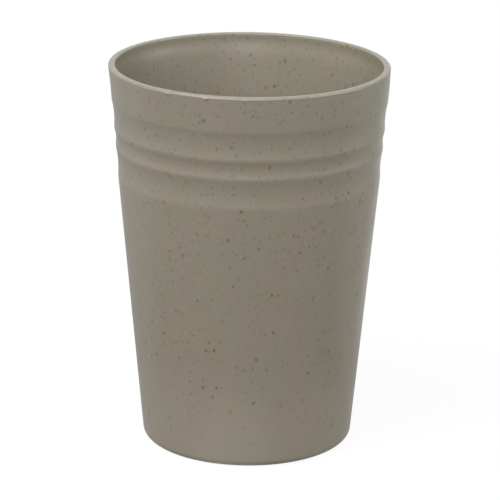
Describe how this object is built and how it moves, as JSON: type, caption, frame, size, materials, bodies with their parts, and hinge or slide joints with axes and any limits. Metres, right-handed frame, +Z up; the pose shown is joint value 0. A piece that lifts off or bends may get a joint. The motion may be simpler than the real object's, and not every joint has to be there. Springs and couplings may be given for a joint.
{
  "type": "bathroom tumbler",
  "caption": "Tapered one-piece drinking tumbler with a flat lip, a plain band below it and hollow ring grooves round its upper third.",
  "frame": {"origin": "centre of the foot ring, on the surface that the tumbler stands on", "axes": "+Z up along the axis of the tumbler; the tumbler is round, so +X and +Y are free"},
  "size_m": [0.0794, 0.0794, 0.11],
  "materials": {
    "speckled_plastic": "satin moulded plastic filled with plant fibre, grey-beige with fine brown and rust flecks"
  },
  "bodies": {
    "root": {"tumbler": "speckled_plastic"}
  },
  "joints": []
}
